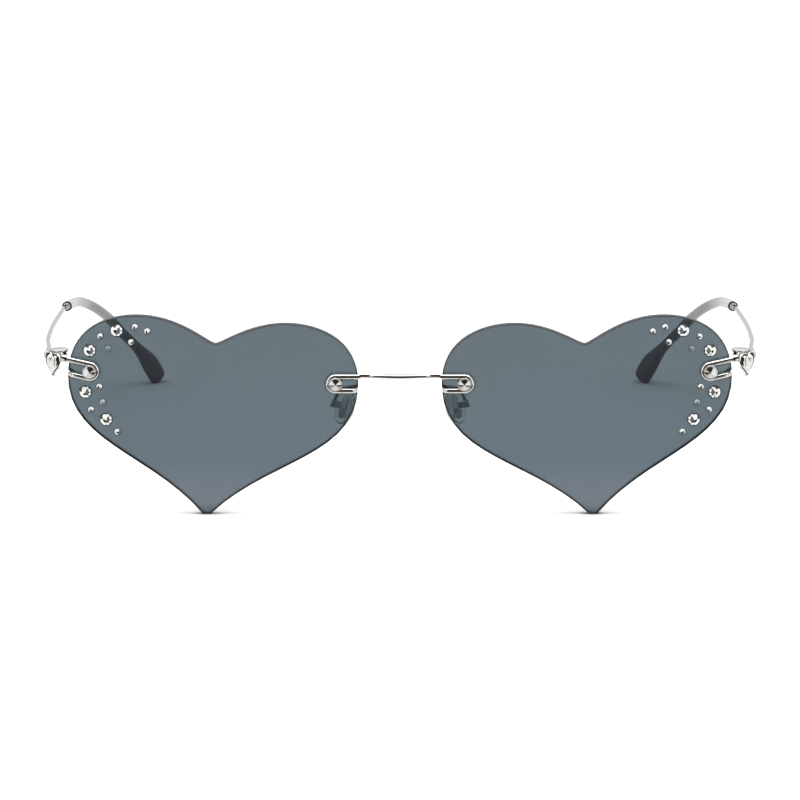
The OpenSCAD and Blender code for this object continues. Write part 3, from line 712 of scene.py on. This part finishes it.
# a lens screw has a round edge, a fine groove and a polished cone
lensScrew = {"shank": 0.7, "tip": 0.15, "washer": 0.3, "nut": 1.2, "nutFloor": 0.3, "rise": 0.85, "rim": 0.15,
             "grooveAt": 0.85, "groove": 0.03, "grooveOut": 0.06, "grooveIn": (0.05, 0.09),
             "coneRows": (0.6, 0.2, 0.06), "point": 0.01, "axis": 0.001, "sides": 48, "crease": 28}


def screwProfile():
    seat, axis, rim = layout["seat"], lensScrew["axis"], lensScrew["rim"]
    base = 2 * seat + layout["wireD"]  # the underside of the head
    end = -(layout["lensT"] + seat + lensScrew["washer"] + lensScrew["nut"] - lensScrew["nutFloor"])
    shank, top = lensScrew["shank"], base + lensScrew["rise"]
    profile = [(axis, end), (shank - lensScrew["tip"], end), (shank, end + lensScrew["tip"]),
               (shank, base - axis), (headD / 2, base)]
    profile += arc(0, 80, 8, lambda c, s: (headD / 2 - rim * (1 - c), base + rim * (1 + s)))
    edgeR, edgeH = profile[-1]
    groove = lensScrew["grooveAt"] * headD / 2

    def cone(r):
        return r, mixed(top, edgeH, r / edgeR)
    profile += [cone(groove + lensScrew["grooveOut"]), (groove, cone(groove)[1] - lensScrew["groove"])]
    profile += [cone(groove - r) for r in lensScrew["grooveIn"]] + [cone(r) for r in lensScrew["coneRows"]]
    return profile + [(axis, top - lensScrew["point"])]


def buildScrews():
    bm = bmesh.new()
    verts, faces = spun(screwProfile(), lensScrew["sides"])
    lift = Matrix.Rotation(pi / 2, 3, "X")
    for low, high in islands("lens_screws"):
        middle = (low + high) / 2
        made = [bm.verts.new((lift @ v) * mm + Vector((middle.x, frontY, middle.z))) for v in verts]
        for face in faces:
            bm.faces.new([made[i] for i in face])
    piece = shaped(bm, "lensScrews", [finishes["screw"]], lensScrew["crease"])
    settle(piece, "front", "polished_screw", "lens_screws")


buildScrews()
for node, name, finish, slot, width in (
        ("lens_bushes", "lensBushes", "plastic", "pale_plastic", 0.03),
        ("lens_washers", "lensWashers", "plastic", "pale_plastic", 0.05),
        ("lens_nuts", "lensNuts", "screw", "polished_screw", 0.08)):
    piece = shaped(softened(fromNode(node), width), name, [finishes[finish]], evenFlats=True)
    settle(piece, "front", slot, node)
print("lens screws fitted")


# from the face on the nose to the back: the share of the outline, and of the depth
padSteps = [(0.10, -0.50), (0.34, -0.495), (0.66, -0.44), (0.86, -0.29), (0.96, -0.10), (1, 0.06),
            (0.985, 0.20), (0.93, 0.33), (0.80, 0.44), (0.55, 0.49), (0.2, 0.5)]


def buildPad(side, sign):
    ringRows = []
    for share, out in padSteps:
        ring = []
        for j in range(padFrame["sides"]):
            a = 2 * pi * j / padFrame["sides"]
            across = -share * padFrame["width"] / 2 * sin(a) * (1 - padFrame["taper"] * cos(a))
            ring.append(padPoint((out * padFrame["depth"], across, share * padFrame["length"] / 2 * cos(a))))
        ringRows.append(ring)
    verts, faces = loft(ringRows)
    bm = bmeshOf(verts, faces)
    if sign < 0:
        flipped(bm)
    piece = shaped(bm, "nosePad" + side.title(), [finishes["silicone"]], padFrame["crease"])
    more = piece.modifiers.new("round", "SUBSURF")
    more.levels = more.render_levels = 1
    settle(piece, "pad_" + side, "clear_silicone", "nose_pad_" + side)
    for node, name, finish, slot, body, width in (
            ("pad_core_", "padCore", "nickel", "silver_wire", "pad_" + side, 0.06),
            ("pad_box_", "padBox", "nickel", "silver_wire", "front", 0.06),
            ("pad_screw_", "padScrew", "screw", "polished_screw", "front", 0.04)):
        bm = softened(fromNode(node + side), width)
        part = shaped(bm, name + side.title(), [finishes[finish]], evenFlats=True)
        settle(part, body, slot, node + side)


for side, sign in bothSides:
    buildPad(side, sign)
print("nose pads moulded")


# the heart ornament stands on the hinge; its steps are shares of its outline and depth, from its back
hingeHeart = {"width": 4.8, "height": 5.0, "depth": 1.1, "turn": radians(48), "shift": 1.05, "face": 2.25,
              "rise": 0.1, "dip": 1.0, "flat": 0.415, "curveSteps": 12,
              "steps": [(0.95, 0), (1, 0.06), (1, 0.30), (0.985, 0.38), (0.95, 0.41), (0.93, 0.36),
                        (0.825, 0.37), (0.805, 0.46), (0.765, 0.61), (0.71, 0.74), (0.61, 0.87),
                        (0.47, 0.95), (0.28, 1.0)],
              "grooveRows": (4, 7), "crease": 32, "soft": 0.05}
heartShares = {"flank": [(0.409, 0.304), (1, 0.334), (1, 0.693)],
               "shoulder": [(1, 0.920), (0.744, 1), (0.511, 1)],
               "dip": [(0.243, 1), (0.048, 1)], "dipDepth": 0.976}


def heartOutline():
    half, height, dip = hingeHeart["width"] / 2, hingeHeart["height"], hingeHeart["dip"]
    n = hingeHeart["curveSteps"]
    flank, shoulder, middle = [[Vector((x * half, y * height)) for x, y in heartShares[key]]
                               for key in ("flank", "shoulder", "dip")]
    notch = Vector((0, height - dip))
    low = Vector((middle[1].x, height - heartShares["dipDepth"] * dip))
    right = bezier([Vector((hingeHeart["flat"] / 2, 0)), *flank], n)
    right += bezier([flank[2], *shoulder], n)
    right += bezier([shoulder[2], middle[0], low, notch], n)
    return right + [notch] + [Vector((-p.x, p.y)) for p in reversed(right)]


def buildHinge(side, sign):
    screwLow, screwHigh = [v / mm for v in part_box("hinge_screw_left")]
    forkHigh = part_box("hinge_fork_left")[1].z / mm
    pin = Vector(((screwLow.x + screwHigh.x) / 2, (screwLow.y + screwHigh.y) / 2, 0))
    turn = Matrix.Rotation(hingeHeart["turn"], 3, "Z")
    outline = heartOutline()
    middle = hingeHeart["height"] / 2
    back = -hingeHeart["face"] - layout["seat"]
    base = forkHigh + hingeHeart["rise"] - hingeHeart["height"]
    ringRows = []
    for share, out in hingeHeart["steps"]:
        ring = []
        for p in outline:
            local = Vector((share * p.x - hingeHeart["shift"], back - out * hingeHeart["depth"],
                            base + middle + share * (p.y - middle)))
            ring.append(pin + turn @ local)
        ringRows.append(ring)
    verts, faces = loft(ringRows)
    bm = bmeshOf(verts, faces)
    bm.faces.ensure_lookup_table()
    first, last = [row * len(outline) for row in hingeHeart["grooveRows"]]
    for face in bm.faces[first:last]:
        face.material_index = 1
    if sign < 0:
        flipped(bm)
    materials = [finishes["heart"], finishes["groove"]]
    heart = shaped(bm, "hingeHeart" + side.title(), materials, hingeHeart["crease"])
    settle(heart, "temple_" + side, "hinge_metal", "hinge_heart_" + side)
    for node, name, body in (("hinge_eye_", "hingeEye", "front"),
                             ("hinge_fork_", "hingeFork", "temple_" + side),
                             ("hinge_screw_", "hingeScrew", "temple_" + side)):
        bm = softened(fromNode(node + side), hingeHeart["soft"])
        part = shaped(bm, name + side.title(), [finishes["hinge"]], evenFlats=True)
        settle(part, body, "hinge_metal", node + side)


for side, sign in bothSides:
    buildHinge(side, sign)
print("hinges assembled")


# a temple's wire and its sleeve follow one route, whose rows are shares of the length, the bow, the tuck
# behind the ear and the drop to the floor
temple = {"length": 125.6, "bow": 2.9, "tuck": 19.0, "tipRest": 1.25, "wire": 1.1, "bossWall": 0.45,
          "route": [(0.020, 0.00, 0.000, 0.000), (0.085, 0.12, 0.000, 0.016), (0.190, 0.55, 0.000, 0.054),
                    (0.350, 0.86, 0.000, 0.112), (0.512, 1.02, 0.000, 0.176), (0.670, 1.13, 0.010, 0.238),
                    (0.727, 1.16, 0.030, 0.258), (0.788, 1.10, 0.140, 0.274), (0.833, 1.04, 0.295, 0.350),
                    (0.882, 1.00, 0.455, 0.475), (0.921, 1.00, 0.600, 0.610), (0.954, 1.00, 0.765, 0.745),
                    (0.983, 1.00, 0.900, 0.880), (1.000, 1.00, 1.000, 1.000)],
          "sleeveRow": 6, "coreRow": 10, "steps": 10, "wireSides": 24, "sleeveSides": 32,
          "sleeve": 2.3, "paddleW": 5.6, "paddleT": 2.6, "bore": 1.16, "mouthShares": (0.54, 0.70),
          "rim": 0.45, "crease": 40,
          "grow": [(0.00, 0.00), (0.00, 0.04), (0.00, 0.10), (0.00, 0.20), (0.01, 0.38), (0.08, 0.66),
                   (0.72, 1.00), (0.68, 0.80)],
          "end": [(0.10, 0.955), (0.19, 0.86), (0.26, 0.70), (0.31, 0.50), (0.33, 0.30)]}


def templeRoute():
    wireLow, wireHigh = [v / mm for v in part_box("temple_wire_left")]
    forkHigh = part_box("hinge_fork_left")[1] / mm
    templeX = forkHigh.x - (temple["wire"] + temple["bossWall"]) / 2
    hingeZ = wireHigh.z - temple["wire"] / 2
    templeY = wireLow.y
    rows = [Vector((templeX + b * temple["bow"] - k * temple["tuck"], templeY + a * temple["length"],
                    hingeZ - d * (hingeZ - temple["tipRest"]))) for a, b, k, d in temple["route"]]
    return Vector((templeX, templeY, hingeZ)), rows


def buildTemple(side, sign):
    start, rows = templeRoute()
    steps = temple["steps"]
    points = spline(rows, steps)
    core = [start] + points[:temple["coreRow"] * steps + 1]
    r = temple["wire"] / 2
    heads = directions(core, Vector((0, 1, 0)))
    bm = bmeshOf(*loft(rings(core, heads, None, [(r, r)] * len(core), temple["wireSides"])))
    if sign < 0:
        flipped(bm)
    settle(shaped(bm, "templeWire" + side.title(), [finishes["wire"]], wire["crease"]), "temple_" + side,
           "silver_wire", "temple_wire_" + side)

    # the sleeve's skin, from its mouth to the floor
    skin = points[temple["sleeveRow"] * steps:]
    heads = directions(skin)
    sizes = []
    for wide, thick in spline([Vector(g) for g in temple["grow"]], steps):
        sizes.append((mixed(temple["sleeve"], temple["paddleW"], wide) / 2,
                      mixed(temple["sleeve"], temple["paddleT"], thick) / 2))
    last, lastSize, tail = skin[-1], sizes[-1], heads[-1]
    for out, left in temple["end"]:  # its rounded end
        skin.append(last + out * temple["paddleT"] * tail)
        heads.append(tail)
        sizes.append((lastSize[0] * left, lastSize[1] * left))
    sides = temple["sleeveSides"]
    outer = rings(skin, heads, None, sizes, sides)
    # its bore and its cut mouth; all of it is one closed surface
    bore = points[temple["sleeveRow"] * steps:temple["coreRow"] * steps + 1]
    inner = rings(bore, directions(bore), None, [(temple["bore"] / 2,) * 2] * len(bore), sides)
    mouth = [[skin[0] + (p - skin[0]) * s for p in outer[0]] for s in temple["mouthShares"]]
    rim = [skin[0].lerp(skin[1], temple["rim"]) + (p - skin[0]) for p in outer[0]]
    bm = bmeshOf(*loft(inner[::-1] + mouth + [outer[0], rim] + outer[1:]))
    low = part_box("temple_sleeve_left")[0].z
    for v in bm.verts:
        v.co.z = max(v.co.z, low)
    bm.faces.ensure_lookup_table()
    boreEnd, lip = len(inner) * sides, (len(inner) + 1) * sides
    # painted shade: the bore and the mouth's outer ring take the near-black finish
    for face in bm.faces[:boreEnd] + bm.faces[lip:lip + 2 * sides]:
        face.material_index = 1
    if sign < 0:
        flipped(bm)
    materials = [finishes["sleeve"], finishes["mouth"]]
    piece = shaped(bm, "templeSleeve" + side.title(), materials, temple["crease"])
    settle(piece, "temple_" + side, "smoked_sleeve", "temple_sleeve_" + side)


for side, sign in bothSides:
    buildTemple(side, sign)
print("temples drawn")


# a white paper floor under an even white light; the dark cards are seen in the metal and the lenses alone
studio = {"floorHalf": 1.6, "paper": ((0.90, 0.90, 0.90), (0.92, 0.92, 0.92)),
          "glowNear": 0.55, "glowFar": 0.75, "glowReach": (0.12, 0.75), "glowBehind": 0.42,
          "contact": 11, "bare": (0.30, 0.96), "fill": 0.55, "mirrored": 0.86,
          "softbox": (1.5, 0.35), "softboxPlace": (0, -0.12, 1.0), "softboxPower": 6.5}
cards = {"dark": (0.030, 0.022, 0.015), "lift": 0.5,
         "far": 600, "half": 390, "high": 1000,  # the upright one in front
         "footHalf": 94, "footSoft": 22, "footNear": 6, "footFade": 50, "footLight": (0.96, 0.95, 0.93),
         # strips beside each hinge: turn, way off, half width, top
         "strips": [(60, 60, 9, 120), (138, 70, 23, 120)], "stripFade": 0.45, "stripFadeZ": 62,
         "stripLight": (0.86, 0.86, 0.86),
         "behind": 480, "behindHalf": 560, "behindHigh": 330, "behindFade": (0.4, 0.5),
         "behindGrey": (0.62, 0.62, 0.63), "behindLight": (0.86, 0.86, 0.86)}


def flatPiece(name, corners, material):
    bm = bmesh.new()
    bm.faces.new([bm.verts.new(c) for c in corners])
    piece = shaped(bm, name, [material])
    return piece


def layFloor():
    f = Finish("paperFloor")
    paper = f.node("ShaderNodeBsdfDiffuse", inputs={"Color": f.mix(f.noise(0.5, 3.0), *studio["paper"])})
    seen = f.node("ShaderNodeLightPath", output="Is Camera Ray")
    through = f.node("ShaderNodeLightPath", output="Is Transmission Ray")
    away = f.node("ShaderNodeVectorMath", {"operation": "LENGTH"}, [f.place()], "Value")
    level = away.step(*studio["glowReach"]) * (studio["glowFar"] - studio["glowNear"]) + studio["glowNear"]
    # painted shadow: the glow dims where the glasses lie near, for their contact shadow on the floor
    level = level * f.openness(studio["contact"]).step(*studio["bare"])
    glow = f.node("ShaderNodeEmission", inputs={"Color": (seen + through * studio["glowBehind"]) * level})
    both = f.node("ShaderNodeAddShader", inputs=[paper, glow])
    f.node("ShaderNodeOutputMaterial", inputs={"Surface": both})
    h = studio["floorHalf"]
    flatPiece("floorSheet", [(-h, -h, 0), (h, -h, 0), (h, h, 0), (-h, h, 0)], f.material)


def upright(name, half, y, low, high, material):
    return flatPiece(name, [(-half, y, low), (half, y, low), (half, y, high), (-half, y, high)], material)


def stripFinish(middle, across, top):  # dark in its middle, fading out towards its sides and its top
    f = Finish("stripCard")
    spot = f.node("ShaderNodeVectorMath", {"operation": "SUBTRACT"}, [f.place(), middle])
    aside = f.node("ShaderNodeVectorMath", {"operation": "DOT_PRODUCT"}, [spot, unit(across)], "Value")
    edge = aside.size().step(across.length * cards["stripFade"], across.length)
    edge = edge.math("MAXIMUM", edge, f.along("Z").step(cards["stripFadeZ"] * mm, top * mm))
    return f.glowing(f.mix(edge, cards["dark"], cards["stripLight"]))


def hangCards():
    low = cards["lift"] * mm
    y, foot = frontY - cards["far"] * mm, frontY - cards["footNear"] * mm
    dark = Finish("darkCard").glowing(cards["dark"])
    hung = [upright("cardUpright", cards["half"] * mm, y, low, cards["high"] * mm, dark)]

    # the foot lies on the floor before the glasses, and fades towards them and to its sides
    f = Finish("fadingCard")
    b = cards["footHalf"] * mm
    near = f.along("Y").step(frontY - cards["footFade"] * mm, foot)
    aside = f.along("X").size().step(b - cards["footSoft"] * mm, b)
    faded = f.glowing(f.mix(near.math("MAXIMUM", near, aside), cards["dark"], cards["footLight"]))
    hung.append(flatPiece("cardFoot", [(-b, y, low), (b, y, low), (b, foot, low), (-b, foot, low)], faded))

    pinX = sum(v.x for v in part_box("hinge_screw_left")) / 2
    for sign in (1, -1):
        for turn, away, half, top in cards["strips"]:
            out, along = sign * sin(radians(turn)), cos(radians(turn))
            across = Vector((sign * along, abs(out), 0)) * half * mm
            middle = Vector((sign * pinX, frontY, low)) + Vector((out, -along, 0)) * away * mm
            up = Vector((0, 0, top * mm - low))
            corners = [middle - across, middle + across, middle + across + up, middle - across + up]
            hung.append(flatPiece("cardStrip", corners, stripFinish(middle, across, top)))

    f = Finish("greyCard")
    a, high = cards["behindHalf"] * mm, cards["behindHigh"] * mm
    edge = f.along("X").size().step(a * cards["behindFade"][0], a)
    edge = edge.math("MAXIMUM", edge, f.along("Z").step(high * cards["behindFade"][1], high))
    grey = f.glowing(f.mix(edge, cards["behindGrey"], cards["behindLight"]))
    hung.append(upright("cardBehind", a, frontY + cards["behind"] * mm, low, high, grey))
    for card in hung:
        card.visible_camera = card.visible_diffuse = card.visible_shadow = card.visible_transmission = False


def lightRoom():
    world = bpy.data.worlds.new("studio")
    f = Finish("room", world)
    seen = f.node("ShaderNodeLightPath", output="Is Camera Ray")
    gloss = f.node("ShaderNodeLightPath", output="Is Glossy Ray")
    through = f.node("ShaderNodeLightPath", output="Is Transmission Ray")
    clear = seen.math("MINIMUM", seen + through, 1.0)
    level = clear * (1 - studio["fill"]) + gloss * (studio["mirrored"] - studio["fill"]) + studio["fill"]
    sky = f.node("ShaderNodeBackground", inputs={"Color": (1, 1, 1, 1), "Strength": level})
    f.node("ShaderNodeOutputWorld", inputs={"Surface": sky})
    bpy.context.scene.world = world

    lamp = bpy.data.lights.new("softbox", "AREA")
    lamp.shape = "RECTANGLE"
    lamp.size, lamp.size_y = studio["softbox"]
    lamp.energy = studio["softboxPower"]
    softbox = bpy.data.objects.new("softbox", lamp)
    softbox.location = studio["softboxPlace"]
    bpy.context.collection.objects.link(softbox)


layFloor()
hangCards()
lightRoom()


camera = {"distance": 900, "rise": radians(13), "aimZ": 24.785, "frameWidth": 168, "sensor": 36,
          "clip": (0.01, 20)}


def buildCamera():
    data = bpy.data.cameras.new("camera")
    data.sensor_width = camera["sensor"]
    data.lens = camera["sensor"] * camera["distance"] / camera["frameWidth"]
    data.clip_start, data.clip_end = camera["clip"]
    aim = Vector((0, frontY, camera["aimZ"] * mm))
    back = Vector((0, -cos(camera["rise"]), sin(camera["rise"])))
    holder = bpy.data.objects.new("camera", data)
    holder.location = aim + back * camera["distance"] * mm
    holder.rotation_euler = (-back).to_track_quat("-Z", "Y").to_euler()
    bpy.context.collection.objects.link(holder)
    bpy.context.scene.camera = holder


buildCamera()
bpy.context.scene.view_settings.view_transform = "Standard"
print("stage ready")
